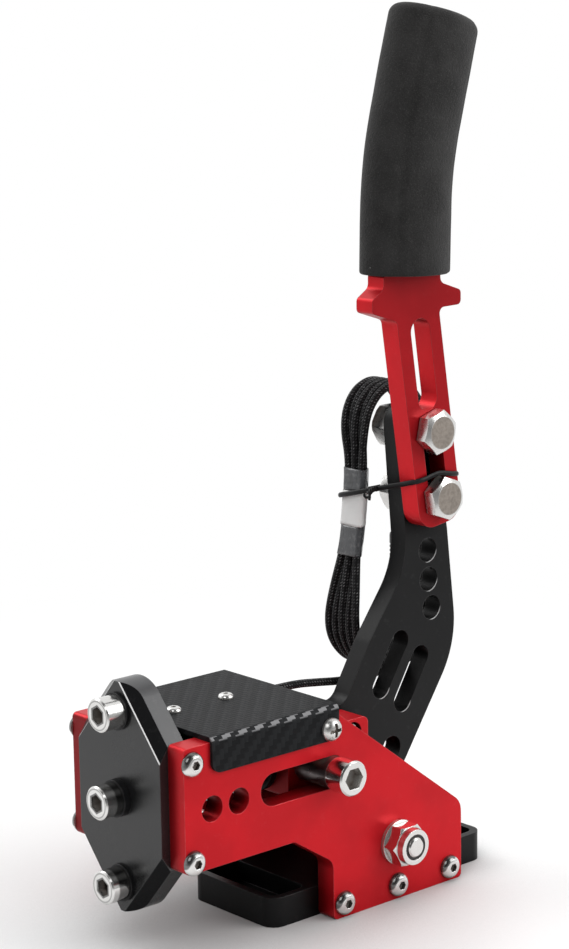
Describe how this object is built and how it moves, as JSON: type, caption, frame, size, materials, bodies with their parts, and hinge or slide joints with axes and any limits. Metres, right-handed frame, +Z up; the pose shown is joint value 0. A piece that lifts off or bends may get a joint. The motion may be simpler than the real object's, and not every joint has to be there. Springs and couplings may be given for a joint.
{
  "type": "sim racing handbrake",
  "caption": "Bench-mounted racing handbrake: a lever pivoted between two side plates drives a sprung slider past a sensor; slotted handle with foam grip, hanked cord.",
  "frame": {"origin": "under the lever's pivot axis, on the underside of the base block, midway between the side plates", "axes": "+X from the front plate to the rear, +Y across the side plates, +Z up"},
  "size_m": [0.2, 0.0923, 0.3508],
  "materials": {
    "red_anodised": "satin, red anodised",
    "black_anodised": "satin, black anodised",
    "front_finish": "semi-gloss dark grey",
    "stainless": "bright",
    "zinc": "bright zinc",
    "black_steel": "blackened",
    "spring_steel": "bright",
    "bronze": "sintered",
    "carbon": "gloss carbon weave",
    "foam": "matt closed-cell foam",
    "black_plastic": "matt",
    "nylon": "matt",
    "board": "solder mask",
    "braid": "black braided sleeve",
    "tape": "smooth black tape",
    "label": "blank white",
    "plug_metal": "bright",
    "magnet_plate": "nickel"
  },
  "bodies": {
    "frame": {"side_plate_near": "red_anodised", "side_plate_far": "red_anodised", "front_plate": "front_finish", "base_block": "black_anodised", "cover": "carbon", "front_side_screws": "stainless", "base_side_screws": "stainless", "cover_side_screws": "zinc", "cover_top_screws": "stainless", "front_screws": "stainless", "front_screw_washers": "black_steel", "preload_screw": "stainless", "preload_collar": "black_steel", "pivot_bolt": "stainless", "pivot_washers": "stainless", "pivot_nut": "stainless", "pivot_nut_insert": "black_plastic", "thrust_washers": "nylon", "pivot_spacers": "zinc", "spring_seat_front": "black_steel", "return_spring": "spring_steel", "sensor_board": "board", "board_standoffs": "nylon", "hall_chip": "black_plastic", "cable_connector": "label", "strain_relief": "black_plastic", "cord_stretch": "braid"},
    "lever": {"lever_plate": "black_anodised", "pivot_bush": "bronze", "drive_pin": "stainless", "handle_bolts": "zinc", "handle_nuts": "zinc", "cord_hank": "braid", "usb_plug_body": "black_plastic", "usb_plug_shell": "plug_metal", "hank_tape": "tape", "hank_label": "label", "cord_tie": "black_plastic", "handle_plate": "red_anodised", "foam_grip": "foam"},
    "slider": {"crosshead": "red_anodised", "cross_bolt": "stainless", "cross_sleeves": "zinc", "cross_washers": "stainless", "cross_nut": "stainless", "spring_seat_rear": "black_steel", "magnet_holder": "black_plastic", "magnet": "magnet_plate"}
  },
  "joints": [
    {"name": "lever_swing", "type": "hinge", "parent": "frame", "child": "lever", "pos_m": [0, 0, 0.024], "axis": [0, -1, 0], "range_deg": [0, 22], "stiffness_Nm_per_rad": 12, "springref_deg": -11.46, "deforming": ["cord_stretch"]},
    {"name": "crosshead_slide", "type": "slide", "parent": "frame", "child": "slider", "axis": [-1, 0, 0], "range_m": [0, 0.0155], "deforming": ["return_spring"]}
  ],
  "couplings": [
    {"joint": "crosshead_slide", "follows": "lever_swing", "m_per_rad": 0.0402}
  ]
}
